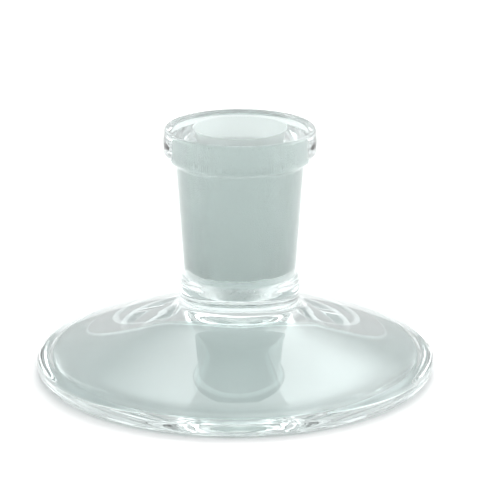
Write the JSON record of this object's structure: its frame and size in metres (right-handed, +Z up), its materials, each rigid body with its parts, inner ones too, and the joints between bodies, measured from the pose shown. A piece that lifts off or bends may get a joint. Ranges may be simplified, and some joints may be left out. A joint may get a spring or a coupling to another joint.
{
  "type": "ground joint glass stand",
  "caption": "Clear glass stand: an upright tapered ground-glass socket with a thick collar, fused to a low hollow bell foot with a rounded rim.",
  "frame": {"origin": "on the table, under the centre of the foot", "axes": "+Z up along the axis of the joint and the foot; X and Y are free, because every node is round about Z"},
  "size_m": [0.0632, 0.0632, 0.0398],
  "materials": {
    "clear_glass": "fire-polished borosilicate glass",
    "ground_glass": "polished outside, ground white in the tapered bore"
  },
  "bodies": {
    "root": {"joint_collar": "clear_glass", "joint_socket": "ground_glass", "joint_end": "clear_glass", "foot_flare": "clear_glass", "foot_dome": "clear_glass", "foot_rim": "clear_glass"}
  },
  "joints": []
}
